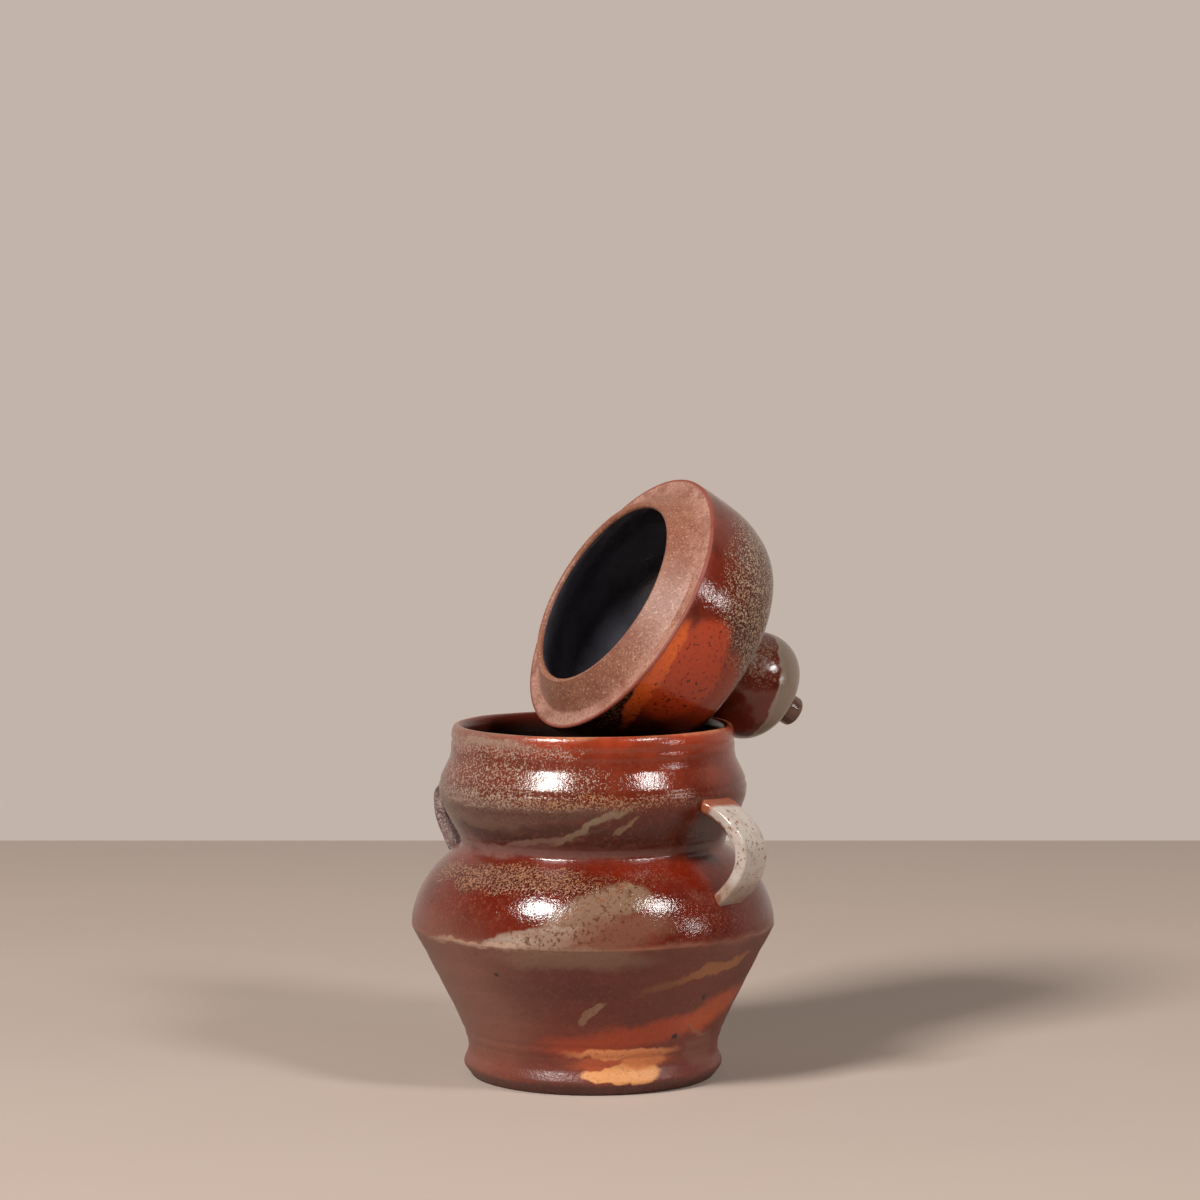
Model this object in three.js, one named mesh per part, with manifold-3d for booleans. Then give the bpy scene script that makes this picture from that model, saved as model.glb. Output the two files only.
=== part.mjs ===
// A small lidded stoneware jar with two pulled strap handles and a knobbed lid, thrown on the wheel.
// The lid is off its seat: it lies on its side in the mouth of the jar, with its knob past the rim.
// Millimetres and degrees. +Z is up, the jar stands on z = 0 and its handles are on the X axis.

import Module from 'manifold-3d';
import * as THREE from 'three';
import { mergeVertices } from 'three/addons/utils/BufferGeometryUtils.js';

const wasm = await Module();
wasm.setup();

// Foot of the jar
const footRadius = 35; // the flat that the jar stands on
const footRidgeRadius = 37.7; // where the bevel of the foot ends in a ridge
const footRidgeHeight = 3.5;
const footNeckRadius = 36.2; // the groove above the ridge
const footNeckHeight = 7.8;
const floorThickness = 6;
const floorRadius = 24; // flat part of the floor inside

// Wall of the jar. Each rise is measured from the level before it.
const wall = 4.6;
const keelRadius = 52.5; // the sharp edge at the widest place
const keelHeight = 43.8;
const shoulderRise = 23.4;
const waistRadius = 38.1; // the groove between shoulder and collar
const collarRise = 17.3;
const collarRadius = 44.7; // the widest place of the collar
const neckRise = 10.3;
const mouthRadius = 37; // clear radius inside the lip
const lipRise = 7.2;
const lipThickness = 4.2;
const lipCrest = 2.4; // from the inside of the lip out to its highest line
const mouthEdgeDrop = 3; // from the crest down to the straight inside of the mouth

// Strap handles
const strapWidth = 12.6;
const strapThickness = 4.7;
const handleRoot = 2.7; // how deep the middle of the top end starts inside the widest line of the collar

// The middle line of each strap. Its left one was pulled into a tighter, higher loop than its right one.
const rightStrap = {
  topRise: 14.8, // middle of the top end, above the waist
  crown: -6, // how far the upper bend is pulled up above the top end, or down where it is below 0
  upperReach: 4.4, // how far the upper bend is pulled out past the keel
  lowerReach: 10.5, // the same for the lower bend
  sag: 13.2, // how far the lower bend is pulled above the lower end
  footRise: 9.3, // middle of the lower end, above the keel
  footRoot: 6.5, // how deep the middle of the lower end starts inside the keel
};
const leftStrap = {
  topRise: 12,
  crown: 6,
  upperReach: 10.7,
  lowerReach: -0.2,
  sag: 9.3,
  footRise: 13.8,
  footRoot: 6.9,
};

// Lid, in its own frame: its axis is Z, and the ledge that seats on the lip is at z = 0
const lidWall = 4.8;
const domeSideInset = 5.7; // from the edge of the seat in to where the side of the dome turns over
const domeSideHeight = 28.5;
const domeHeight = 38.5;
const flangeClearance = 0.6; // between the root of the flange and the inside of the mouth
const flangeDepth = 6.8;
const flangeTaper = 8.2; // from the root of the flange in to the opening into the lid
const flangeTipRound = 1.6;
const hollowHeight = 11; // level at which the inside of the lid is widest

// Knob and finial
const knobNeckRadius = 11.8;
const knobRadius = 16.6;
const knobRise = 12.5; // from the neck up to the widest line
const knobCrownRise = 10.8; // from the widest line to the top
const knobTopRadius = 4.8;
const finialStemRadius = 3.2;
const finialRadius = 4.6;
const finialHeight = 6;
const finialBevel = 1.5;

// How the lid lies in the mouth
const lidTiltLeast = 95; // away from upright: the lid comes to lie still somewhere between these two
const lidTiltMost = 145;
const lidTurn = 65; // the way that the knob points, from +X towards +Y
const lidRestX = 1.3; // middle of the seat ledge
const lidRestY = 10.7;

// Clearances
const slipGap = 0.3; // luted piece to the piece that carries it
const restGap = 0.3; // lid to the lip that it lies on
const restStep = 0.003; // how finely the height of the lid is found
const tiltStep = 0.02; // how finely its tilt is found

// Fineness of the rounds
const jarFacets = 48;
const lidFacets = 48;
const knobFacets = 36;
const finialFacets = 24;
const strapSteps = 20;
const strapFacets = 6; // for each half of the strap's section

const degrees = Math.PI / 180;

const waistHeight = keelHeight + shoulderRise;
const collarHeight = waistHeight + collarRise;
const neckHeight = collarHeight + neckRise;
const rimHeight = neckHeight + lipRise;
const knobBase = domeHeight + slipGap;
const knobTop = knobBase + knobRise + knobCrownRise;
const finialBase = knobTop + slipGap;

// The seat ledge of the lid ends flush with the outside of the lip, and its flange fits the mouth
const lidRadius = mouthRadius + lipThickness;
const domeSideRadius = lidRadius - domeSideInset;
const flangeRootRadius = mouthRadius - flangeClearance;
const flangeTipRadius = flangeRootRadius - flangeTaper;

// A turned stretch of a profile: the curve from one station, [radius, height], to the next. It leaves
// and arrives at angles from the outward direction, and its arms are shares of the straight distance.
function stretch(from, leaves, leaveArm, to, arrives, arriveArm, steps) {
  const start = new THREE.Vector2(...from);
  const end = new THREE.Vector2(...to);
  const reach = start.distanceTo(end);
  const out = new THREE.Vector2(Math.cos(leaves * degrees), Math.sin(leaves * degrees));
  const on = new THREE.Vector2(Math.cos(arrives * degrees), Math.sin(arrives * degrees));
  const first = start.clone().addScaledVector(out, reach * leaveArm);
  const second = end.clone().addScaledVector(on, -reach * arriveArm);
  const points = new THREE.CubicBezierCurve(start, first, second, end).getPoints(steps);
  return points.slice(1).map((point) => [point.x, point.y]);
}

// A profile turned about the Z axis into a closed skin
function turned(profile, facets) {
  const points = profile.map(([radius, height]) => new THREE.Vector2(radius, height));
  return new THREE.LatheGeometry(points, facets).rotateX(90 * degrees);
}

// The solid inside a closed skin, for cutting and for measuring gaps
function toSolid(geometry) {
  const bare = geometry.clone();
  bare.deleteAttribute('normal');
  bare.deleteAttribute('uv');
  const skin = mergeVertices(bare);
  const corners = skin.index.array;
  const faces = [];
  for (let i = 0; i < corners.length; i += 3) {
    const [a, b, c] = corners.slice(i, i + 3);
    if (a !== b && b !== c && c !== a) {
      faces.push(a, b, c);
    }
  }
  const vertProperties = new Float32Array(skin.attributes.position.array);
  const triVerts = new Uint32Array(faces);
  return new wasm.Manifold(new wasm.Mesh({ numProp: 3, vertProperties, triVerts }));
}

function toGeometry(solid) {
  const { vertProperties, triVerts } = solid.getMesh();
  const geometry = new THREE.BufferGeometry();
  geometry.setAttribute('position', new THREE.BufferAttribute(vertProperties, 3));
  geometry.setIndex(new THREE.BufferAttribute(triVerts, 1));
  geometry.computeVertexNormals();
  return geometry;
}

// Stations of the outer skin of the jar, and of its lining
const footNeck = [footNeckRadius, footNeckHeight];
const keel = [keelRadius, keelHeight];
const waist = [waistRadius, waistHeight];
const collar = [collarRadius, collarHeight];
const neck = [mouthRadius + lipThickness, neckHeight];
const crest = [mouthRadius + lipCrest, rimHeight];
const mouthEdge = [mouthRadius, rimHeight - mouthEdgeDrop];
const collarLining = [collarRadius - wall, collarHeight];
const waistLining = [waistRadius - wall, waistHeight];
const keelLining = [keelRadius - wall, keelHeight];
const floorEdge = [floorRadius, floorThickness];

// Bevelled foot and flared wall, from the middle of the base out and up to the keel
const bowlOutside = [
  [0, 0],
  [footRadius, 0],
  [footRidgeRadius, footRidgeHeight],
  footNeck,
  ...stretch(footNeck, 84, 0.18, keel, 64.4, 0.53, 8),
];

// Shoulder, waist groove, collar and lip, from the keel up to the crest
const collarOutside = [
  keel,
  ...stretch(keel, 89.5, 0.34, waist, 148, 0.39, 7),
  ...stretch(waist, 75, 0.3, collar, 92, 0.36, 5),
  ...stretch(collar, 93, 0.32, neck, 93, 0.36, 4),
  ...stretch(neck, 88, 0.45, crest, 180, 0.24, 4),
];

// Lower thrown section. Its rim is a flat ring at the level of the keel.
function bowlGeometry() {
  return turned([
    ...bowlOutside,
    keelLining,
    ...stretch(keelLining, 246, 0.46, floorEdge, 180, 0.17, 8),
    [0, floorThickness],
  ], jarFacets);
}

// Upper thrown section, which stands rim to rim on the lower one
function collarGeometry() {
  return turned([
    ...collarOutside,
    ...stretch(crest, 180, 0.4, mouthEdge, 270, 0.4, 3),
    ...stretch(mouthEdge, 270, 0.35, collarLining, 270, 0.35, 3),
    ...stretch(collarLining, 270, 0.36, waistLining, 255, 0.3, 4),
    ...stretch(waistLining, 316, 0.3, keelLining, 272, 0.35, 5),
    keel,
  ], jarFacets);
}

// Strap pulled out of the collar, over and down to the shoulder. It is pressed onto the wall, so its
// ends follow the wall: the filled jar, grown by the slip gap, is cut away from it.
function handleGeometry(strapLine) {
  const topHeight = waistHeight + strapLine.topRise;
  const footHeight = keelHeight + strapLine.footRise;
  const path = new THREE.CubicBezierCurve3(
    new THREE.Vector3(collarRadius - handleRoot, 0, topHeight),
    new THREE.Vector3(keelRadius + strapLine.upperReach, 0, topHeight + strapLine.crown),
    new THREE.Vector3(keelRadius + strapLine.lowerReach, 0, footHeight + strapLine.sag),
    new THREE.Vector3(keelRadius - strapLine.footRoot, 0, footHeight),
  );
  const section = new THREE.Shape().absellipse(0, 0, strapWidth / 2, strapThickness / 2, 0, 2 * Math.PI);
  const strap = new THREE.ExtrudeGeometry(section, {
    steps: strapSteps,
    curveSegments: strapFacets,
    extrudePath: path,
    bevelEnabled: false,
  });
  const wallSkin = [...bowlOutside.slice(1), ...collarOutside.slice(1)];
  const grownSkin = wallSkin.map(([radius, height]) => [radius + slipGap, height]);
  const filledJar = turned([[0, 0], ...grownSkin, [0, rimHeight]], jarFacets);
  return toGeometry(toSolid(strap).subtract(toSolid(filledJar)));
}

// Deep dome with a flat seat ledge, and a tapered flange that drops into the mouth of the jar
function domeGeometry() {
  const flangeRoot = [flangeRootRadius, 0];
  const tipOutside = [flangeTipRadius + flangeTipRound, -flangeDepth];
  const tipInside = [flangeTipRadius, -flangeDepth + flangeTipRound];
  const hollowSide = [lidRadius - lidWall, hollowHeight];
  const hollowTop = [0, domeHeight - lidWall];
  const domeSide = [domeSideRadius, domeSideHeight];
  const domeTop = [knobNeckRadius, domeHeight];
  return turned([
    hollowTop,
    ...stretch(hollowTop, 0, 0.56, hollowSide, 268, 0.38, 8),
    ...stretch(hollowSide, 268, 0.4, tipInside, 268, 0.25, 5),
    ...stretch(tipInside, 270, 0.5, tipOutside, 0, 0.5, 2),
    flangeRoot,
    [lidRadius, 0],
    ...stretch([lidRadius, 0], 86, 0.28, domeSide, 135, 0.32, 7),
    ...stretch(domeSide, 136, 0.22, domeTop, 160, 0.42, 5),
    [0, domeHeight],
  ], lidFacets);
}

// Solid oblate knob on a short neck
function knobGeometry() {
  const neckRing = [knobNeckRadius, knobBase];
  const widest = [knobRadius, knobBase + knobRise];
  const top = [knobTopRadius, knobTop];
  return turned([
    [0, knobBase],
    neckRing,
    ...stretch(neckRing, 65, 0.3, widest, 90, 0.42, 5),
    ...stretch(widest, 90, 0.36, top, 178, 0.42, 6),
    [0, knobTop],
  ], knobFacets);
}

// Button on a short stem
function finialGeometry() {
  const top = finialBase + finialHeight;
  const stem = [finialStemRadius, finialBase];
  const lowerEdge = [finialRadius, finialBase + finialBevel];
  const upperEdge = [finialRadius, top - finialBevel];
  const face = [finialRadius - finialBevel, top];
  return turned([
    [0, finialBase],
    stem,
    ...stretch(stem, 20, 0.4, lowerEdge, 90, 0.4, 3),
    upperEdge,
    ...stretch(upperEdge, 90, 0.5, face, 180, 0.5, 3),
    [0, top],
  ], finialFacets);
}

// Fired clay: its colour, and its roughness from glossy glaze to matte body
function clay(color, roughness) {
  return new THREE.MeshStandardMaterial({ color, roughness, metalness: 0 });
}

const bowl = new THREE.Mesh(bowlGeometry(), clay(0x6b3a30, 0.6));
bowl.name = 'jar_bowl';

const collarRing = new THREE.Mesh(collarGeometry(), clay(0x7d3423, 0.32));
collarRing.name = 'jar_collar';

const rightHandle = new THREE.Mesh(handleGeometry(rightStrap), clay(0xa79a8a, 0.35));
rightHandle.name = 'handle_right';

const leftHandle = new THREE.Mesh(handleGeometry(leftStrap), clay(0x7c6a66, 0.4));
leftHandle.name = 'handle_left';
leftHandle.rotation.z = 180 * degrees;

const dome = new THREE.Mesh(domeGeometry(), clay(0x6e3324, 0.35));
dome.name = 'lid_dome';

const knob = new THREE.Mesh(knobGeometry(), clay(0x5e2b22, 0.3));
knob.name = 'lid_knob';

const finial = new THREE.Mesh(finialGeometry(), clay(0x7a5a4c, 0.35));
finial.name = 'lid_finial';

const lid = new THREE.Group();
lid.add(dome, knob, finial);

const jarSolid = toSolid(bowl.geometry).add(toSolid(collarRing.geometry));
const domeSolid = toSolid(dome.geometry);
const knobSolid = toSolid(knob.geometry);

function tipLid(tilt) {
  lid.rotation.set(0, tilt * degrees, lidTurn * degrees, 'ZYX');
  lid.position.set(lidRestX, lidRestY, 0);
  lid.updateMatrix();
}

// Height of the tipped lid at which this piece of it is the rest gap away from the jar
function restingHeight(pieceSolid) {
  const tipped = pieceSolid.transform(lid.matrix.elements);
  let blocked = rimHeight;
  let clear = rimHeight + lidRadius + domeHeight + knobRise + knobCrownRise;
  while (clear - blocked > restStep) {
    const middle = (clear + blocked) / 2;
    if (tipped.translate(0, 0, middle).minGap(jarSolid, 2 * restGap) < restGap) {
      blocked = middle;
    } else {
      clear = middle;
    }
  }
  return clear;
}

// Tips the lid until its dome and its knob both lie on the lip
function layLidDown() {
  let [least, most] = [lidTiltLeast, lidTiltMost];
  while (most - least > tiltStep) {
    const middle = (least + most) / 2;
    tipLid(middle);
    if (restingHeight(domeSolid) > restingHeight(knobSolid)) {
      least = middle;
    } else {
      most = middle;
    }
  }
  lid.position.z = Math.max(restingHeight(domeSolid), restingHeight(knobSolid));
}

layLidDown();

const liddedJar = new THREE.Group();
liddedJar.add(bowl, collarRing, rightHandle, leftHandle, lid);

export default liddedJar;
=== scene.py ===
"""A small wood-fired stoneware jar with two strap handles, its knobbed lid lying tipped in the mouth.

Sizes are in millimetres up to the point where a mesh or a pattern is made, and metres from there on. The
jar stands on z = 0 with its axis on Z and its handles on X. Angles round the jar are counted from the side
that is seen first, to the right.
"""

import logging
import math
from dataclasses import dataclass
from enum import Enum
from typing import NamedTuple

import bpy
import numpy as np
from bpy.types import Material, Node, NodeSocket, NodeTree, Object
from mathutils import Euler, Matrix, Vector


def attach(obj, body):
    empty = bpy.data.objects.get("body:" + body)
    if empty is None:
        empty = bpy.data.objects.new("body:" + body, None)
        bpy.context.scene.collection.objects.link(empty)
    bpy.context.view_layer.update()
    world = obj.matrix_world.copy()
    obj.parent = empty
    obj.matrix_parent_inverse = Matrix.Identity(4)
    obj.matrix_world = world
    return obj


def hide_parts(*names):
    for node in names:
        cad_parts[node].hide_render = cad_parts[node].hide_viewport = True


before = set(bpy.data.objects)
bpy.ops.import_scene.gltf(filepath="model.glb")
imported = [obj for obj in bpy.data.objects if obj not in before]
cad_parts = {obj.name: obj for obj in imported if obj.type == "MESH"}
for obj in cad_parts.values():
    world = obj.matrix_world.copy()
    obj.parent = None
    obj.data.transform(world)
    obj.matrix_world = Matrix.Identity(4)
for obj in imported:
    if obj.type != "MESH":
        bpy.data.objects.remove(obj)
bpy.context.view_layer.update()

MM = 0.001
FRONT_TURN = -52.0  # degrees about Z from +X to the side that is seen first
SPIN_STEPS = 168
WELD = 0.002  # millimetres within which two points are one
CREASE = 38.0  # degrees past which an edge stays sharp
STILL_REACH = 7.0  # millimetres to each side of a rim in which the hand's wobble fades in

log = logging.getLogger("lidded_jar")


# Shape helpers


class Zone(Enum):
    """Which fired surface a station of a profile belongs to."""

    OUTSIDE = 0.0
    SEAT = 1.0
    LINING = 2.0


class Station(NamedTuple):
    """A point of a turned profile: how far out, how high, and on which surface, in millimetres."""

    radius: float
    height: float
    zone: Zone = Zone.OUTSIDE


@dataclass(frozen=True)
class ThrowingLine:
    """A groove that a fingertip left on the turning wall, in millimetres."""

    height: float
    width: float
    depth: float


def stretch(
    start: Station,
    leaves: float,
    leave_arm: float,
    end: Station,
    arrives: float,
    arrive_arm: float,
    steps: int,
) -> list[Station]:
    """Draw a smooth stretch of profile between two stations.

    Args:
        start: where it begins.
        leaves: the angle at which it leaves, in degrees from outwards.
        leave_arm: the leaving arm as a share of the straight distance.
        end: where it ends, which also gives its surface.
        arrives: the angle at which it arrives, in degrees.
        arrive_arm: the arriving arm as a share of the straight distance.
        steps: how many stations it is cut into.

    Returns:
        The stations after the first.
    """
    reach = math.dist(start[:2], end[:2])
    first = [
        start.radius + reach * leave_arm * math.cos(math.radians(leaves)),
        start.height + reach * leave_arm * math.sin(math.radians(leaves)),
    ]
    second = [
        end.radius - reach * arrive_arm * math.cos(math.radians(arrives)),
        end.height - reach * arrive_arm * math.sin(math.radians(arrives)),
    ]
    stations = []
    for step in range(1, steps + 1):
        t = step / steps
        weights = ((1 - t) ** 3, 3 * t * (1 - t) ** 2, 3 * t * t * (1 - t), t**3)
        radius, height = (
            sum(w * p[axis] for w, p in zip(weights, (start, first, second, end))) for axis in (0, 1)
        )
        stations.append(Station(max(radius, 0.0), height, end.zone))
    return stations


def soften(before: Station, corner: Station, after: Station, size: float, steps: int = 4) -> list[Station]:
    """Wipe a corner of the profile round, as a wet sponge does.

    Args:
        before: the station before the corner.
        corner: the corner itself, which gives the surface.
        after: the station after the corner.
        size: how far from the corner the rounding begins, in millimetres.
        steps: how many stations the rounding is cut into.

    Returns:
        The stations that replace the corner.
    """
    ends = []
    for other in (before, after):
        share = size / max(math.dist(corner[:2], other[:2]), size)
        ends.append([corner[axis] + (other[axis] - corner[axis]) * share for axis in (0, 1)])
    stations = []
    for step in range(steps + 1):
        t = step / steps
        weights = ((1 - t) ** 2, 2 * t * (1 - t), t * t)
        radius, height = (
            sum(w * p[axis] for w, p in zip(weights, (ends[0], corner, ends[1]))) for axis in (0, 1)
        )
        stations.append(Station(max(radius, 0.0), height, corner.zone))
    return stations


def scored(profile: list[Station], lines: tuple[ThrowingLine, ...]) -> list[Station]:
    """Press throwing lines into the outside of a profile.

    Args:
        profile: the smooth profile.
        lines: the grooves.

    Returns:
        The profile with the grooves in it.
    """
    out = []
    for station in profile:
        sink = 0.0
        if station.zone is Zone.OUTSIDE and station.radius > 0:
            sink = sum(g.depth * math.exp(-(((station.height - g.height) / g.width) ** 2)) for g in lines)
        out.append(station._replace(radius=max(station.radius - sink, 0.0)))
    return out


def deselect_all() -> None:
    """Leave edit mode and deselect every object."""
    if bpy.context.object is not None and bpy.context.object.mode != "OBJECT":
        bpy.ops.object.mode_set(mode="OBJECT")
    bpy.ops.object.select_all(action="DESELECT")


def close_up() -> None:
    """In edit mode, merge the doubles and turn every face outwards."""
    bpy.ops.mesh.select_all(action="SELECT")
    bpy.ops.mesh.remove_doubles(threshold=WELD * MM)
    bpy.ops.mesh.normals_make_consistent(inside=False)


def throw(name: str, profile: list[Station]) -> Object:
    """Turn a closed profile round the Z axis, as on the wheel.

    Args:
        name: the name of the new piece.
        profile: its stations, in millimetres.

    Returns:
        The new piece, at the origin, with its surfaces marked in the attribute "zone".
    """
    deselect_all()
    bpy.ops.mesh.primitive_plane_add(size=MM, location=(0, 0, 0))
    piece = bpy.context.object
    piece.name = piece.data.name = name
    bpy.ops.object.mode_set(mode="EDIT")
    bpy.ops.mesh.select_all(action="SELECT")
    bpy.ops.mesh.merge(type="CENTER")
    here = Vector((0, 0, 0))
    for index, station in enumerate(profile):
        there = Vector((station.radius * MM, 0, station.height * MM))
        if index == 0:
            bpy.ops.transform.translate(value=there - here)
        else:
            bpy.ops.mesh.extrude_vertices_move(TRANSFORM_OT_translate={"value": there - here})
        here = there
    bpy.ops.mesh.select_all(action="SELECT")
    bpy.ops.mesh.spin(steps=SPIN_STEPS, angle=2 * math.pi, center=(0, 0, 0), axis=(0, 0, 1))
    close_up()
    bpy.ops.object.mode_set(mode="OBJECT")
    mark_zones(piece, profile)
    return piece


def mark_zones(piece: Object, profile: list[Station]) -> None:
    """Write on each point of a thrown piece which fired surface it is on.

    Args:
        piece: the thrown piece, upright at the origin.
        profile: the stations that it was turned from.
    """
    places = np.array([v.co for v in piece.data.vertices]) / MM
    turned = np.stack([np.hypot(places[:, 0], places[:, 1]), places[:, 2]], axis=1)
    stations = np.array([station[:2] for station in profile])
    zones = np.array([station.zone.value for station in profile])
    nearest = np.argmin(((turned[:, None, :] - stations[None, :, :]) ** 2).sum(axis=2), axis=1)
    layer = piece.data.attributes.new("zone", "FLOAT", "POINT")
    layer.data.foreach_set("value", zones[nearest].astype(np.float32))


def hand_wobble(piece: Object, size: float, depth: float, still: tuple[float, ...] = ()) -> None:
    """Take the machine evenness off a piece, only ever inwards.

    Args:
        piece: the piece to work on.
        size: how wide the swells are, in millimetres.
        depth: the deepest that a swell sinks, in millimetres.
        still: heights round which nothing moves, so that two pieces still meet there.
    """
    swell = bpy.data.textures.new(f"{piece.name}_swell", "CLOUDS")
    swell.noise_scale = size * MM
    swell.noise_depth = 1
    worked = piece.vertex_groups.new(name="worked")
    for vertex in piece.data.vertices:
        away = min([abs(vertex.co.z / MM - height) / STILL_REACH for height in still] + [1.0])
        worked.add([vertex.index], away * away, "REPLACE")
    deselect_all()
    piece.select_set(True)
    bpy.context.view_layer.objects.active = piece
    push = piece.modifiers.new("hand wobble", "DISPLACE")
    push.texture = swell
    push.texture_coords = "LOCAL"
    push.strength = depth * MM
    push.mid_level = 1.0
    push.vertex_group = worked.name
    bpy.ops.object.modifier_apply(modifier=push.name)
    piece.vertex_groups.clear()


def set_down(piece: Object, place: Matrix) -> None:
    """Move a finished piece to its place, smooth it and leave its object at the origin.

    Args:
        piece: the piece, modelled upright at the origin.
        place: where it belongs.
    """
    deselect_all()
    piece.select_set(True)
    bpy.context.view_layer.objects.active = piece
    piece.matrix_world = place
    bpy.ops.object.transform_apply(location=True, rotation=True, scale=True)
    bpy.ops.object.shade_smooth_by_angle(angle=math.radians(CREASE))


# Surface helpers


def linear(code: str) -> tuple[float, float, float, float]:
    """Turn an sRGB hex colour into the linear colour that a shader takes.

    Args:
        code: six hex digits after a hash.

    Returns:
        Red, green, blue and a full alpha.
    """
    parts = [int(code[i : i + 2], 16) / 255 for i in (1, 3, 5)]
    red, green, blue = (p / 12.92 if p <= 0.04045 else ((p + 0.055) / 1.055) ** 2.4 for p in parts)
    return red, green, blue, 1.0


def per_metre(size: float) -> float:
    """Give the pattern scale at which one cell of a texture is this many millimetres wide."""
    return 1.0 / (size * MM)


def add_node(tree: NodeTree, kind: str, settings: dict, links: dict) -> Node:
    """Add a node with its settings and links.

    Args:
        tree: the node tree to add it to.
        kind: Blender's name for the node.
        settings: properties by name, and input values by name or number.
        links: the sockets that feed its inputs, by the input's name or number.

    Returns:
        The new node.
    """
    node = tree.nodes.new(kind)
    for key, value in settings.items():
        if isinstance(key, str) and hasattr(node, key):
            setattr(node, key, value)
        else:
            node.inputs[key].default_value = value
    for key, socket in links.items():
        tree.links.new(socket, node.inputs[key])
    return node


class Grain(Enum):
    """How a mark sits on the clay."""

    SMOOTH = "smooth"
    GRANULES = "granules"
    FLECKS = "flecks"
    STREAKS = "streaks"


class Across(Enum):
    """What a surface's marks are counted in, next to height."""

    ROUND = "round"
    OUTWARDS = "outwards"


@dataclass(frozen=True)
class Mark:
    """One mark of flame, ash or glaze: an oval on the unrolled wall with an uneven edge.

    It lies at an angle in degrees round the piece, or at a distance outwards in millimetres where the
    surface counts outwards. The other lengths are in millimetres, the lean in degrees up to the right.
    """

    at: float
    height: float
    half_width: float
    half_height: float
    color: str
    strength: float = 0.8
    lean: float = 0.0
    edge: float = 0.35
    grain: Grain = Grain.SMOOTH
    roughness: float | None = None

    def near(self, low: float, high: float) -> bool:
        """Say whether the mark reaches into a range of heights.

        Args:
            low: the lowest height, in millimetres.
            high: the highest.

        Returns:
            Whether any of it is in there.
        """
        lean = math.radians(self.lean)
        tall = math.hypot(self.half_height * math.cos(lean), self.half_width * math.sin(lean))
        reach = tall * (1.0 + self.edge)
        return low - reach < self.height < high + reach


@dataclass(frozen=True)
class GrainCut:
    """How a noise is cut into grains.

    The cell is in millimetres. The layers and the twist shape the noise, the mark adds its crowding to it,
    and what lies above the low value begins to show, until it is full at the high one.
    """

    cell: float
    detail: float
    rough: float
    twist: float
    crowd: float
    low: float
    high: float


# Real ash granules are about 0.4 mm wide. They are drawn coarser, because finer ones vanish in the picture.
GRAIN_CUTS = {
    Grain.GRANULES: GrainCut(0.6, 1.0, 0.5, 0.9, crowd=0.15, low=0.63, high=0.72),
    Grain.FLECKS: GrainCut(1.2, 2.0, 0.6, 0.0, crowd=0.12, low=0.62, high=0.75),
}
STREAK_LENGTH = 9.0  # millimetres along a mark for one cell of its streaks
STREAK_WIDTH = 1.1  # and across it


@dataclass(frozen=True)
class Setting:
    """The frame that a surface's marks are counted in: a place in millimetres and a turn in degrees."""

    place: tuple[float, float, float]
    turn: tuple[float, float, float]


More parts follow.
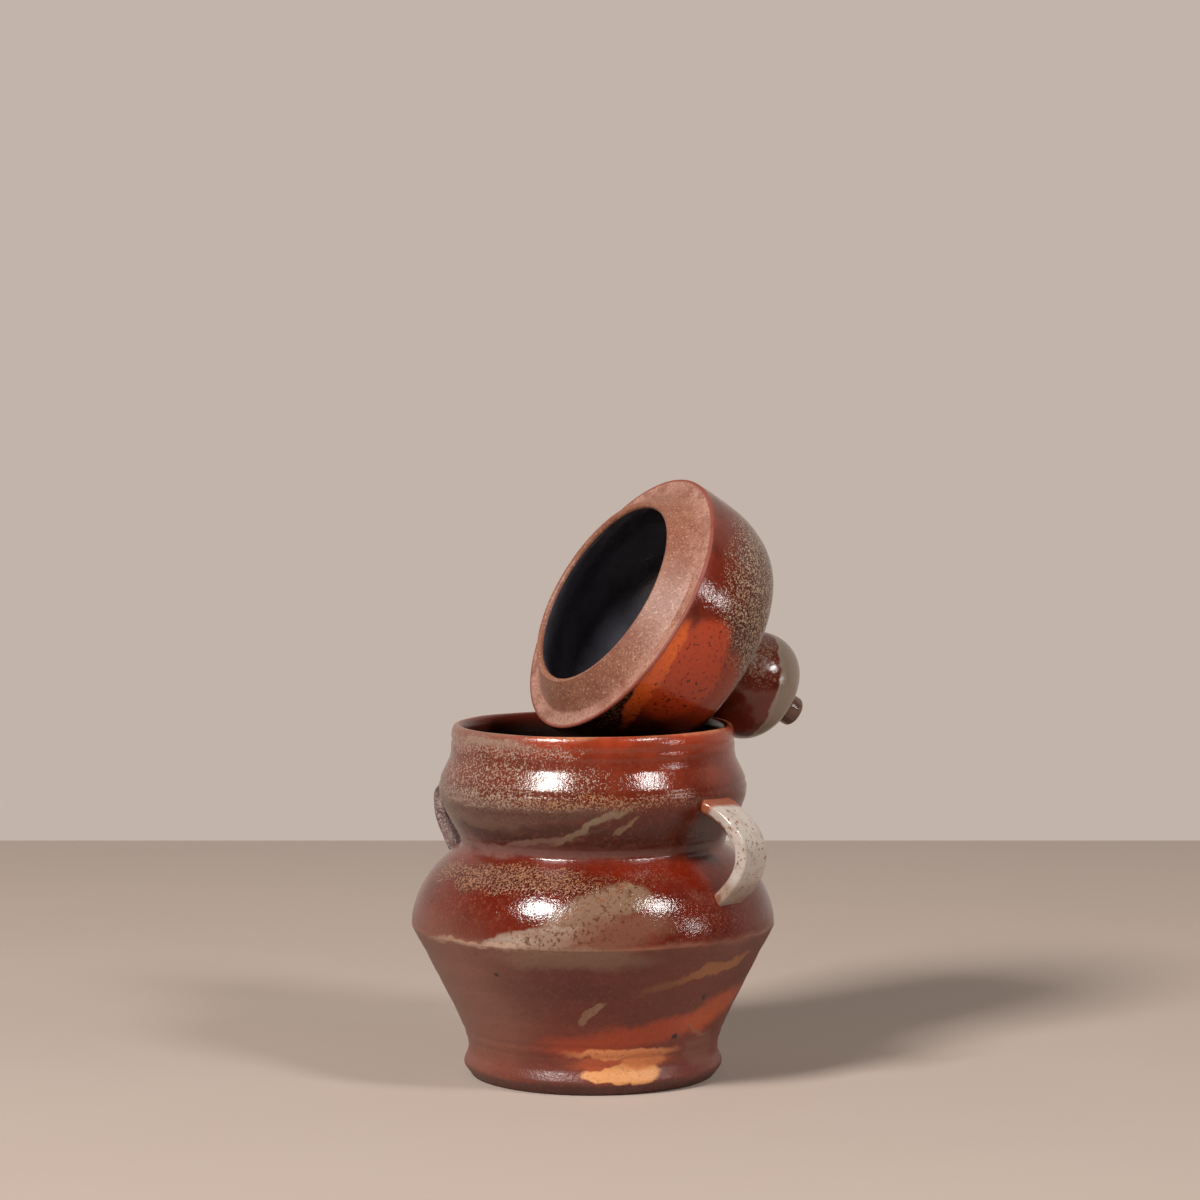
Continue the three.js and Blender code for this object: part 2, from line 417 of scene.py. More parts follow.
class FiredSurface:
    """A fired clay surface, laid up in a material from the body colour to the last fleck of ash."""

    def __init__(self, name: str, setting: Setting, girth: float, across: Across = Across.ROUND) -> None:
        """Start the surface.

        Args:
            name: the material's name.
            setting: the frame of its marks.
            girth: the radius at which the wall is unrolled, in millimetres.
            across: what its marks are counted in.
        """
        self.material = bpy.data.materials.new(name)
        self.material.use_nodes = True
        self.tree = self.material.node_tree
        self.tree.nodes.clear()
        self.points = add_node(self.tree, "ShaderNodeTexCoord", {}, {}).outputs["Object"]
        own = add_node(
            self.tree,
            "ShaderNodeMapping",
            {
                "vector_type": "TEXTURE",
                "Location": [v * MM for v in setting.place],
                "Rotation": [math.radians(v) for v in setting.turn],
            },
            {"Vector": self.points},
        ).outputs[0]
        parts = add_node(self.tree, "ShaderNodeSeparateXYZ", {}, {0: own}).outputs
        self.height = parts["Z"]
        across_squared = self.math("MULTIPLY", parts["X"], parts["X"])
        depth_squared = self.math("MULTIPLY", parts["Y"], parts["Y"])
        self.outwards = self.math("SQRT", self.math("ADD", across_squared, depth_squared))
        self.across = across
        self.girth = girth
        if across is Across.ROUND:
            along = self.math("MULTIPLY", self.math("ARCTAN2", parts["Y"], parts["X"]), girth * MM)
        else:
            along = self.outwards
        flat = add_node(self.tree, "ShaderNodeCombineXYZ", {}, {0: along, 1: self.height}).outputs[0]
        self.noises: dict[tuple, NodeSocket] = {}
        self.wall = self.warped(self.warped(flat, 9.0, 3.0), 2.2, 0.8)
        self.color: NodeSocket | None = None
        self.roughness: NodeSocket | None = None
        self.ash: NodeSocket | None = None
        self.zone = add_node(
            self.tree, "ShaderNodeAttribute", {"attribute_name": "zone"}, {}
        ).outputs["Fac"]

    def math(self, operation: str, *values: NodeSocket | float) -> NodeSocket:
        """Add a sum, product or other operation.

        Args:
            operation: Blender's name for it.
            values: the sockets and numbers that it works on, in order.

        Returns:
            Its result.
        """
        settings = {"operation": operation}
        links = {}
        for index, value in enumerate(values):
            if isinstance(value, (int, float)):
                settings[index] = value
            else:
                links[index] = value
        return add_node(self.tree, "ShaderNodeMath", settings, links).outputs[0]

    def noise(self, size: float, detail: float = 2.0, rough: float = 0.5, twist: float = 0.0) -> Node:
        """Give the noise of this grain size, one node for each kind.

        Args:
            size: the width of one cell in millimetres.
            detail: how many finer layers it has.
            rough: how strong they are.
            twist: how much it is drawn into worms.

        Returns:
            The noise node.
        """
        kind = (size, detail, rough, twist)
        if kind not in self.noises:
            self.noises[kind] = add_node(
                self.tree,
                "ShaderNodeTexNoise",
                {"Scale": per_metre(size), "Detail": detail, "Roughness": rough, "Distortion": twist},
                {"Vector": self.points},
            )
        return self.noises[kind]

    def warped(self, flat: NodeSocket, size: float, reach: float) -> NodeSocket:
        """Shift flat coordinates unevenly, so that the marks on them get a natural edge.

        Args:
            flat: the coordinates.
            size: the width of the unevenness in millimetres.
            reach: how far it shifts from one side to the other, in millimetres.

        Returns:
            The shifted coordinates.
        """
        centred = add_node(
            self.tree,
            "ShaderNodeVectorMath",
            {"operation": "SUBTRACT", 1: (0.5, 0.5, 0.5)},
            {0: self.noise(size).outputs["Color"]},
        ).outputs[0]
        scaled = add_node(
            self.tree,
            "ShaderNodeVectorMath",
            {"operation": "MULTIPLY", 1: (reach * MM * 2, reach * MM * 2, 0.0)},
            {0: centred},
        ).outputs[0]
        both = {0: flat, 1: scaled}
        return add_node(self.tree, "ShaderNodeVectorMath", {"operation": "ADD"}, both).outputs[0]

    def ease(
        self, value: NodeSocket, low: float, high: float, out_low: float = 0.0, out_high: float = 1.0
    ) -> NodeSocket:
        """Map a value smoothly from one range to another, held at both ends.

        Args:
            value: the value.
            low: where its range begins.
            high: where its range ends.
            out_low: what it becomes at the low end.
            out_high: what it becomes at the high end.

        Returns:
            The mapped value.
        """
        return add_node(
            self.tree,
            "ShaderNodeMapRange",
            {"interpolation_type": "SMOOTHSTEP", 1: low, 2: high, 3: out_low, 4: out_high},
            {0: value},
        ).outputs[0]

    def mixed(self, share: NodeSocket, below: NodeSocket, color: str) -> NodeSocket:
        """Lay a colour over another by a share.

        Args:
            share: how much of the colour shows, from 0 to 1.
            below: what it lies on.
            color: the colour.

        Returns:
            The two together.
        """
        return add_node(
            self.tree,
            "ShaderNodeMix",
            {"data_type": "RGBA", 7: linear(color)},
            {0: share, 6: below},
        ).outputs[2]

    def two_tone(self, first: str, second: str, share: NodeSocket) -> NodeSocket:
        """Run one colour into another.

        Args:
            first: the colour where the share is 0.
            second: the colour where it is 1.
            share: the share.

        Returns:
            The two together.
        """
        tones = {"data_type": "RGBA", 6: linear(first), 7: linear(second)}
        return add_node(self.tree, "ShaderNodeMix", tones, {0: share}).outputs[2]

    def bands(self, stops: tuple[tuple[float, str, float], ...], size: float, reach: float) -> None:
        """Lay the body colour and its roughness in level bands that run into each other.

        Args:
            stops: height in millimetres, colour and roughness, from the lowest up.
            size: the width of the unevenness between bands, in millimetres.
            reach: how far a band wanders, in millimetres.
        """
        low, high = stops[0][0], stops[-1][0]
        wander = self.ease(self.noise(size).outputs["Fac"], 0.25, 0.75, -reach * MM, reach * MM)
        uneven = self.math("ADD", self.height, wander)
        span = {1: low * MM, 2: high * MM}
        level = add_node(self.tree, "ShaderNodeMapRange", span, {0: uneven}).outputs[0]
        ramps = []
        for colors in (
            [linear(color) for _, color, _ in stops],
            [(rough, rough, rough, 1.0) for _, _, rough in stops],
        ):
            ramp = add_node(self.tree, "ShaderNodeValToRGB", {}, {0: level})
            elements = ramp.color_ramp.elements
            for (height, _, _), value in zip(stops[1:-1], colors[1:-1]):
                elements.new((height - low) / (high - low)).color = value
            elements[0].color, elements[-1].color = colors[0], colors[-1]
            ramps.append(ramp.outputs[0])
        self.color, self.roughness = ramps

    def mottle(self, color: str, size: float, share: float, low: float = 0.42, high: float = 0.66) -> None:
        """Cloud the surface with a second colour.

        Args:
            color: the second colour.
            size: the width of a cloud in millimetres.
            share: how strong it is.
            low: the noise value at which it begins.
            high: the noise value at which it is full.
        """
        cloud = self.ease(self.noise(size, 3.0, 0.55).outputs["Fac"], low, high, 0.0, share)
        self.color = self.mixed(cloud, self.color, color)

    def lay(self, mark: Mark) -> None:
        """Lay one mark over the surface.

        Args:
            mark: the mark.
        """
        at = math.radians(mark.at) * self.girth if self.across is Across.ROUND else mark.at
        oval = add_node(
            self.tree,
            "ShaderNodeMapping",
            {
                "vector_type": "TEXTURE",
                "Location": (at * MM, mark.height * MM, 0.0),
                "Rotation": (0.0, 0.0, math.radians(mark.lean)),
                "Scale": (mark.half_width * MM, mark.half_height * MM, 1.0),
            },
            {"Vector": self.wall},
        ).outputs[0]
        away = add_node(self.tree, "ShaderNodeVectorMath", {"operation": "LENGTH"}, {0: oval})
        inside = self.ease(away.outputs["Value"], 1.0 - mark.edge, 1.0 + mark.edge, mark.strength, 0.0)
        if mark.grain in GRAIN_CUTS:
            cut = GRAIN_CUTS[mark.grain]
            grains = self.noise(cut.cell, cut.detail, cut.rough, cut.twist).outputs["Fac"]
            crowd = self.math("MULTIPLY_ADD", inside, cut.crowd, grains)
            shown = self.ease(crowd, cut.low, cut.high)
            inside = self.math("MULTIPLY", shown, self.ease(inside, 0.0, 0.25))
        elif mark.grain is Grain.STREAKS:
            cells = (mark.half_width / STREAK_LENGTH, mark.half_height / STREAK_WIDTH, 1.0)
            drawn = add_node(
                self.tree, "ShaderNodeVectorMath", {"operation": "MULTIPLY", 1: cells}, {0: oval}
            ).outputs[0]
            fine = {"Scale": 1.0, "Detail": 2.0}
            hairs = add_node(self.tree, "ShaderNodeTexNoise", fine, {"Vector": drawn}).outputs["Fac"]
            crowd = self.math("MULTIPLY_ADD", inside, 0.5, hairs)
            inside = self.math("MULTIPLY", self.ease(crowd, 0.66, 0.9), inside)
        self.color = self.mixed(inside, self.color, mark.color)
        if mark.roughness is not None:
            self.roughness = self.blend(inside, self.roughness, mark.roughness)
        if mark.grain is Grain.GRANULES:
            self.ash = inside if self.ash is None else self.math("MAXIMUM", self.ash, inside)

    def blend(self, share: NodeSocket, below: NodeSocket, value: float) -> NodeSocket:
        """Lay a number over another by a share.

        Args:
            share: how much of the number counts, from 0 to 1.
            below: what it lies on.
            value: the number.

        Returns:
            The two together.
        """
        number = {"data_type": "FLOAT", 3: value}
        return add_node(self.tree, "ShaderNodeMix", number, {0: share, 2: below}).outputs[0]

    def spots(self, spacing: float, size: float, color: str, share: float = 1.0) -> None:
        """Scatter round iron spots.

        Args:
            spacing: how far apart they are, in millimetres.
            size: how wide a spot is, in millimetres.
            color: their colour.
            share: how strong they are.
        """
        cells = add_node(
            self.tree,
            "ShaderNodeTexVoronoi",
            {"Scale": per_metre(spacing), "Randomness": 1.0},
            {"Vector": self.points},
        )
        edge = size / spacing / 2
        here = self.ease(cells.outputs["Distance"], edge * 0.5, edge * 1.3, share, 0.0)
        lot = add_node(self.tree, "ShaderNodeSeparateColor", {}, {0: cells.outputs["Color"]}).outputs[0]
        chosen = self.ease(lot, 0.45, 0.55)
        self.color = self.mixed(self.math("MULTIPLY", here, chosen), self.color, color)

    def cover(self, share: NodeSocket, color: NodeSocket, roughness: float) -> None:
        """Lay another finished surface over all that a share picks out.

        Args:
            share: where it lies, from 0 to 1.
            color: its colour.
            roughness: its roughness.
        """
        self.color = add_node(
            self.tree, "ShaderNodeMix", {"data_type": "RGBA"}, {0: share, 6: self.color, 7: color}
        ).outputs[2]
        self.roughness = self.blend(share, self.roughness, roughness)

    def fire(self, peel: float, depth: float, grit: float) -> Material:
        """Give the surface its relief and its shader.

        Args:
            peel: the width of the orange peel in the glaze, in millimetres.
            depth: how deep the peel is, in millimetres.
            grit: how much fine grain stands out of it, from 0 to 1.

        Returns:
            The finished material.
        """
        relief = self.noise(peel, 2.0, 0.55).outputs["Fac"]
        relief = self.math("MULTIPLY_ADD", self.noise(peel * 0.4, 2.0, 0.6).outputs["Fac"], grit, relief)
        if self.ash is not None:
            relief = self.math("MULTIPLY_ADD", self.ash, 0.22, relief)
        bump = add_node(
            self.tree,
            "ShaderNodeBump",
            {"Strength": 1.0, "Distance": depth * MM},
            {"Height": relief},
        ).outputs[0]
        shader = add_node(
            self.tree,
            "ShaderNodeBsdfPrincipled",
            {"IOR": 1.52},
            {"Base Color": self.color, "Roughness": self.roughness, "Normal": bump},
        )
        add_node(self.tree, "ShaderNodeOutputMaterial", {}, {"Surface": shader.outputs[0]})
        return self.material


# Finishes

JAR_SETTING = Setting(place=(0.0, 0.0, 0.0), turn=(0.0, 0.0, FRONT_TURN))


@dataclass(frozen=True)
class LidPose:
    """How the lid lies: its seat's middle in millimetres, and how far it leans and turns in degrees."""

    place: tuple[float, float, float] = (1.3, 10.7, 136.314)
    tilt: float = 120.6226
    turn: float = 65.0

    def matrix(self) -> Matrix:
        """Give the lid's place as a matrix, in metres."""
        turned = Euler((0.0, math.radians(self.tilt), math.radians(self.turn))).to_matrix().to_4x4()
        return Matrix.Translation(Vector(self.place) * MM) @ turned

    def setting(self, middle: float = 0.0, lean: float = 0.0) -> Setting:
        """Give the frame for marks on the lid, with angle 0 on the side that is seen first.

        Args:
            middle: how far up the lid's axis the frame begins, in millimetres.
            lean: how far its levels rise to the right, in degrees.

        Returns:
            The frame.
        """
        turned = (
            self.matrix().to_3x3()
            @ Matrix.Rotation(math.radians(-90.0), 3, "Z")
            @ Matrix.Rotation(math.radians(lean), 3, "X")
        )
        place = self.matrix() @ Vector((0.0, 0.0, middle * MM)) / MM
        return Setting(place=tuple(place), turn=tuple(math.degrees(v) for v in turned.to_euler()))


LID_POSE = LidPose()


@dataclass(frozen=True)
class WoodFiredStoneware:
    """Iron-red wood-fired stoneware: flame-flushed clay below the keel, running to glossy glaze above it.

    Ash that fell on the shoulders during the firing melted to tan and khaki granules, and where flame
    licked the foot the clay flushed orange. It gives the eye a rust wall, darker in the hollows, with soft
    tan fields. The dark band of the neck under the collar and the dark bevel under the foot are partly
    painted shade.
    """

    name: str
    low: float
    high: float
    peel: float
    depth: float
    grit: float
    stops: tuple[tuple[float, str, float], ...] = (
        # the foot's underside and its bevel, below the ridge, are darkened partly as painted shade
        (0.0, "#5a3226", 0.7),
        (0.8, "#542c22", 0.6),
        (3.2, "#5c2f25", 0.5),
        (4.6, "#703225", 0.34),
        (9.0, "#723124", 0.38),
        (16.0, "#702e21", 0.4),
        (24.0, "#66291b", 0.42),
        (36.0, "#652419", 0.42),
        (42.8, "#6b3526", 0.4),
        (43.9, "#86513c", 0.34),
        (45.2, "#641b0c", 0.12),
        (58.0, "#5f180a", 0.09),
        (64.0, "#701c0b", 0.09),
        (66.4, "#6a2416", 0.09),
        # from here up to the collar the neck is darker, partly as painted shade under the collar's overhang
        (68.6, "#562821", 0.16),
        (71.5, "#4a1810", 0.2),
        (77.0, "#521c12", 0.18),
        (84.0, "#632212", 0.14),
        (90.0, "#782b18", 0.12),
        (95.0, "#7c2c18", 0.12),
        (98.0, "#93351a", 0.15),
        (101.0, "#a23c20", 0.2),
        (102.2, "#b8704c", 0.24),
    )
    marks: tuple[Mark, ...] = (
        # lip and collar
        Mark(-50, 91.0, 36, 9.0, "#5c2f24", 0.6, edge=0.5),
        Mark(-62, 101.0, 26, 3.4, "#7b5446", 0.85, edge=0.4, roughness=0.24),
        Mark(-48, 97.6, 32, 2.6, "#9a8072", 0.95, grain=Grain.GRANULES, roughness=0.24),
        Mark(-44, 99.0, 15, 1.2, "#957868", 0.6, edge=0.5, roughness=0.36),
        Mark(-40, 89.5, 34, 5.6, "#9a8070", 0.7, grain=Grain.GRANULES, roughness=0.16),
        Mark(-62, 80.5, 26, 5.4, "#684c42", 0.85, lean=-6.0, edge=0.45, roughness=0.3),
        Mark(-28, 79.8, 27, 2.4, "#5d3e31", 0.8, edge=0.4, roughness=0.3),
        Mark(-34, 83.0, 38, 3.0, "#98806f", 1.0, lean=-2.0, grain=Grain.GRANULES, roughness=0.26),
        Mark(2, 83.4, 22, 2.5, "#8f6a49", 0.9, grain=Grain.GRANULES, roughness=0.28),
        Mark(-34, 79.8, 34, 1.8, "#4f2a20", 0.9, edge=0.5, grain=Grain.GRANULES),
        Mark(24, 84.2, 14, 2.4, "#8d654c", 0.7, grain=Grain.GRANULES, roughness=0.3),
        Mark(-34, 75.6, 30, 1.9, "#634334", 0.85, edge=0.4, grain=Grain.STREAKS, roughness=0.36),
        Mark(-44, 73.6, 18, 1.1, "#3a140d", 0.95, lean=-2.0, edge=0.5, roughness=0.3),
        Mark(-20, 75.2, 15, 1.6, "#421a12", 0.85, lean=3.0, edge=0.5, roughness=0.3),
        Mark(-1, 76.4, 13.5, 0.95, "#86705a", 0.88, lean=26.0, edge=0.4, roughness=0.34),
        Mark(-26, 71.4, 15, 1.1, "#7d5f50", 0.8, lean=5.0, edge=0.45, roughness=0.34),
        Mark(12, 76.6, 5.5, 0.7, "#8a6c52", 0.8, lean=38.0, edge=0.5, grain=Grain.STREAKS),
        Mark(-42, 69.0, 32, 1.9, "#744b44", 0.85, lean=-1.0, edge=0.55, roughness=0.3),
        Mark(20, 69.2, 30, 1.3, "#653a32", 0.75, edge=0.6, roughness=0.28),
        # shoulder
        Mark(-34, 61.4, 36, 3.0, "#38100a", 0.8, edge=0.6),
        Mark(-34, 61.4, 38, 3.4, "#93664a", 0.95, edge=0.4, grain=Grain.GRANULES, roughness=0.24),
        Mark(8, 61.9, 18, 1.8, "#74401f", 0.45, grain=Grain.GRANULES, roughness=0.24),
        Mark(-50, 55.5, 22, 7.0, "#8a4a30", 0.16, edge=0.9, grain=Grain.GRANULES),
        Mark(13, 60.0, 2.6, 1.0, "#8f7258", 0.8, lean=-25.0, edge=0.5, roughness=0.3),
        Mark(8, 56.8, 9.5, 3.7, "#7a5d48", 0.94, lean=6.0, edge=0.14, roughness=0.16),
        Mark(-4, 52.0, 13.5, 5.6, "#7f614d", 0.92, lean=34.0, edge=0.16, roughness=0.22),
        Mark(-17, 46.6, 15.0, 3.0, "#8c6f5f", 0.92, lean=8.0, edge=0.16, roughness=0.34),
        Mark(8, 48.6, 13.0, 4.4, "#754c3b", 0.8, lean=12.0, edge=0.35, roughness=0.16),
        Mark(-27, 45.4, 7.0, 1.6, "#a38e80", 0.8, lean=5.0, edge=0.5, roughness=0.4),
        Mark(-4, 52.0, 19, 8.0, "#5d3826", 0.85, lean=25.0, grain=Grain.FLECKS),
        Mark(-12, 51.2, 20, 0.9, "#8a5230", 0.8, lean=27.0, edge=0.7, grain=Grain.FLECKS),
        Mark(42, 51.5, 12, 6.0, "#7a4234", 0.3, edge=0.6, grain=Grain.GRANULES, roughness=0.14),
        Mark(-43, 44.3, 16, 0.8, "#bb9c84", 0.85, edge=0.5, roughness=0.42),
        # below the keel
        Mark(-6, 40.8, 20, 3.4, "#7c5c4a", 0.85, edge=0.35, roughness=0.46),
        Mark(-56, 28.0, 24, 20, "#7d5142", 0.85, edge=0.6, roughness=0.44),
        Mark(-20, 32.0, 15, 6, "#4f241b", 0.5, edge=0.8),
        Mark(36, 34.0, 20, 9.0, "#6c3020", 0.6, edge=0.7),
        Mark(46, 36.2, 14, 1.9, "#935a34", 0.95, lean=12.0, edge=0.4, grain=Grain.STREAKS, roughness=0.44),
        Mark(27, 33.0, 8, 1.2, "#84502f", 0.7, lean=15.0, edge=0.5),
        Mark(0, 24.6, 5.2, 1.3, "#8d6a50", 0.85, lean=38.0, edge=0.35, grain=Grain.STREAKS),
        Mark(25, 17.8, 34, 3.4, "#a53d19", 0.88, lean=6.5, edge=0.5, roughness=0.38),
        Mark(56, 22.6, 15, 4.3, "#b24f27", 0.85, lean=13.0, edge=0.45, roughness=0.38),
        Mark(14, 9.4, 18, 2.6, "#a34a29", 0.85, edge=0.3, roughness=0.42),
        Mark(14, 12.1, 19, 1.5, "#c97c4c", 0.95, lean=-1.0, edge=0.22, roughness=0.42),
        Mark(13, 6.1, 14.6, 2.5, "#cf8e58", 0.97, edge=0.12, roughness=0.44),
        Mark(23, 9.4, 9.0, 2.4, "#bd6f40", 0.95, edge=0.25, roughness=0.42),
        Mark(56, 11.0, 9.5, 5.0, "#79473a", 0.9, edge=0.22, roughness=0.46),
        Mark(50, 16.6, 6, 0.7, "#95624a", 0.7, lean=-18.0, edge=0.5),
        Mark(-33, 35.0, 0.9, 0.8, "#241512", 0.95, edge=0.3),
        Mark(44, 27.8, 0.9, 0.9, "#2a1813", 0.95, edge=0.3),
        Mark(37, 15.3, 1.0, 0.9, "#2a1813", 0.95, edge=0.3),
        # the sides that are seen last
        Mark(130, 60.0, 26, 7.0, "#937558", 0.9, lean=-6.0, edge=0.35, grain=Grain.GRANULES, roughness=0.3),
        Mark(120, 48.5, 18, 4.0, "#8e7460", 0.85, lean=8.0, edge=0.25, roughness=0.36),
        Mark(-128, 52.0, 22, 6.0, "#8b6a54", 0.8, edge=0.4, grain=Grain.GRANULES, roughness=0.3),
        Mark(-135, 17.0, 26, 4.5, "#97441f", 0.75, lean=-5.0, edge=0.5, roughness=0.42),
        Mark(135, 26.0, 22, 9.0, "#6f4a3d", 0.7, lean=12.0, edge=0.6, roughness=0.5),
        Mark(118, 9.0, 18, 3.0, "#b0602f", 0.75, edge=0.35, roughness=0.44),
        Mark(-112, 88.0, 24, 5.0, "#8a6c5a", 0.85, edge=0.4, grain=Grain.GRANULES, roughness=0.32),
        Mark(125, 84.0, 26, 4.0, "#8e705e", 0.8, lean=3.0, edge=0.4, grain=Grain.GRANULES, roughness=0.32),
    )

    def material(self) -> Material:
        """Lay the wall up between its two heights.

        Returns:
            Its material.
        """
        wall = FiredSurface(self.name, JAR_SETTING, girth=45.0)
        wall.bands(self.stops, size=11.0, reach=0.9)
        wall.mottle("#43190f", 13.0, 0.35)
        wall.mottle("#8a3319", 3.4, 0.16, 0.52, 0.7)
        for mark in self.marks:
            if mark.near(self.low, self.high):
                wall.lay(mark)
        wall.spots(6.5, 0.8, "#2f1a14", 0.6)
        wall.mottle("#80503f", 1.6, 0.2, 0.5, 0.7)
        wall.mottle("#2c110b", 1.0, 0.22, 0.56, 0.68)
        wall.mottle("#94603f", 0.8, 0.12, 0.62, 0.68)
        inner = wall.ease(wall.height, 95.0 * MM, 101.0 * MM)
        lining = wall.two_tone("#2c211d", "#3c2b25", wall.noise(9.0).outputs["Fac"])
        wall.cover(wall.ease(wall.zone, 1.2, 1.8), wall.mixed(inner, lining, "#571f14"), 0.24)
        return wall.fire(self.peel, self.depth, self.grit)


@dataclass(frozen=True)
class LidGlaze:
    """Iron-red glaze over stoneware, glossy, with ash melted into khaki worms on the side that faced up.

    A lick of flame left the low side brick orange. The seat ledge and the flange were kept free of glaze,
    so they are matt pink-tan clay, and the hollow is lined with a near-black glossy glaze.
    """

    name: str = "iron_red_glazed_stoneware_lid"
    stops: tuple[tuple[float, str, float], ...] = (
        (-7.0, "#a67a66", 0.6),
        (-0.1, "#8a4a38", 0.5),
        (0.6, "#7c2f1f", 0.26),
        (2.4, "#6e281a", 0.09),
        (8.0, "#682414", 0.06),
        (18.0, "#4f1e12", 0.07),
        (28.0, "#4a2116", 0.14),
        (39.0, "#513024", 0.24),
    )
    marks: tuple[Mark, ...] = (
        Mark(-32, 19.0, 24, 10.5, "#a98f76", 0.9, edge=0.4, grain=Grain.GRANULES, roughness=0.16),
        Mark(-24, 25.5, 26, 6.0, "#a08870", 0.9, edge=0.4, grain=Grain.GRANULES, roughness=0.22),
        Mark(3, 25.5, 12.0, 5.5, "#957a62", 0.9, edge=0.5, grain=Grain.GRANULES, roughness=0.24),
        Mark(-78, 22.0, 14, 8.0, "#9a7d6a", 0.45, edge=0.5, grain=Grain.GRANULES, roughness=0.24),
        Mark(-128, 18.0, 24, 13.0, "#8c735c", 0.9, edge=0.4, grain=Grain.GRANULES, roughness=0.3),
        Mark(128, 16.0, 26, 11.0, "#876c57", 0.8, edge=0.5, grain=Grain.GRANULES, roughness=0.3),
        Mark(88, 8.0, 14, 6.0, "#8c3620", 0.6, edge=0.6, roughness=0.26),
        Mark(26, 19.5, 15.5, 9.5, "#8c3017", 0.9, edge=0.2, roughness=0.18),
        Mark(20, 11.0, 16.5, 9.5, "#a83a18", 0.95, edge=0.14, roughness=0.2),
        # a near-black strip by the seat next to the orange flash: partly painted shade, with real pale
        # speckle laid over it
        Mark(52, 1.6, 16, 4.2, "#29100a", 0.92, lean=10.0, edge=0.35),
        Mark(52, 2.0, 15, 3.6, "#6d4b3a", 0.8, lean=10.0, edge=0.5, grain=Grain.GRANULES),
        Mark(60, 14.0, 9.0, 9.0, "#5a1e12", 0.7, edge=0.5),
        Mark(19, 2.3, 10.5, 2.4, "#c9561f", 0.95, lean=3.0, edge=0.22, roughness=0.24),
        Mark(39, 4.9, 13.0, 2.5, "#c0501f", 0.95, lean=15.0, edge=0.25, roughness=0.24),
        Mark(22, 13.0, 20, 10.0, "#5f1d10", 0.5, edge=0.5, grain=Grain.FLECKS),
    )

    def material(self) -> Material:
        """Lay the lid's three surfaces up.

        Returns:
            Their material.
        """
        glaze = FiredSurface(self.name, LID_POSE.setting(), girth=40.0)
        glaze.bands(self.stops, size=8.0, reach=0.5)
        glaze.mottle("#38150e", 9.0, 0.45)
        for mark in self.marks:
            glaze.lay(mark)
        glaze.mottle("#240c08", 1.1, 0.25, 0.54, 0.68)
        ring = glaze.ease(glaze.outwards, 33.0 * MM, 39.5 * MM)
        clay = glaze.two_tone("#8a5842", "#ab7c6b", ring)
        cloud = glaze.ease(glaze.noise(7.0, 3.0, 0.55).outputs["Fac"], 0.4, 0.66, 0.0, 0.7)
        clay = glaze.mixed(cloud, clay, "#7c4632")
        dark_grain = glaze.ease(glaze.noise(0.8, 2.0, 0.6).outputs["Fac"], 0.52, 0.62, 0.0, 0.6)
        clay = glaze.mixed(dark_grain, clay, "#6b3d2c")
        pale_grain = glaze.ease(glaze.noise(0.7, 2.0, 0.6, 0.4).outputs["Fac"], 0.56, 0.66, 0.0, 0.45)
        clay = glaze.mixed(pale_grain, clay, "#c79c84")
        red_rim = glaze.ease(glaze.outwards, 40.0 * MM, 40.7 * MM, 0.0, 0.85)
        clay = glaze.mixed(red_rim, clay, "#7d2e1f")
        glaze.cover(glaze.ease(glaze.zone, 0.3, 0.7), clay, 0.5)
        # the paler blue-grey clouds in the hollow's near-black lining are partly a painted sheen
        lining = glaze.two_tone("#241f22", "#54525b", glaze.noise(9.0).outputs["Fac"])
        glaze.cover(glaze.ease(glaze.zone, 1.3, 1.8), lining, 0.14)
        return glaze.fire(1.3, 0.07, 0.6)


@dataclass(frozen=True)
class KnobGlaze:
    """The same iron-red glaze, pooled dark and wet, with a grey ash cap that ends in a clear edge."""

    name: str = "dark_maroon_glazed_stoneware"
    middle: float = 51.0
    cap_lean: float = 17.0
    stops: tuple[tuple[float, str, float], ...] = (
        (-16.0, "#542d20", 0.24),
        (-9.0, "#6a281a", 0.1),
        (0.0, "#682517", 0.09),
        (14.0, "#542418", 0.16),
    )
    marks: tuple[Mark, ...] = (
        Mark(-38, -6.5, 9.0, 5.5, "#84654f", 1.0, edge=0.5, grain=Grain.GRANULES, roughness=0.28),
        Mark(30, -6.0, 8.0, 6.0, "#742f1d", 0.5, edge=0.6),
        Mark(0, 14.0, 120.0, 14.0, "#877768", 0.95, edge=0.03, roughness=0.2),
        Mark(0, 0.5, 120.0, 0.5, "#978775", 0.5, edge=0.5),
    )

    def material(self) -> Material:
        """Lay the knob's glaze up.

        Returns:
            Its material.
        """
        glaze = FiredSurface(self.name, LID_POSE.setting(self.middle, self.cap_lean), girth=16.0)
        glaze.bands(self.stops, size=5.0, reach=0.8)
        glaze.mottle("#2c100c", 6.0, 0.4)
        for mark in self.marks:
            glaze.lay(mark)
        return glaze.fire(1.3, 0.07, 0.4)


@dataclass(frozen=True)
class FinialGlaze:
    """Brown-grey glaze on the small button, darkened low down next to the knob as painted shade."""

    name: str = "brown_grey_glazed_stoneware"
    stops: tuple[tuple[float, str, float], ...] = (
        # the lowest stop, where the button stands on the knob, is painted shade
        (61.0, "#35201a", 0.2),
        (64.0, "#684638", 0.12),
        (69.0, "#76594b", 0.12),
    )

    def material(self) -> Material:
        """Lay the button's glaze up.

        Returns:
            Its material.
        """
        glaze = FiredSurface(self.name, LID_POSE.setting(), girth=5.0)
        glaze.bands(self.stops, size=3.0, reach=0.4)
        glaze.mottle("#4a3a32", 2.2, 0.45)
        return glaze.fire(1.0, 0.06, 0.4)


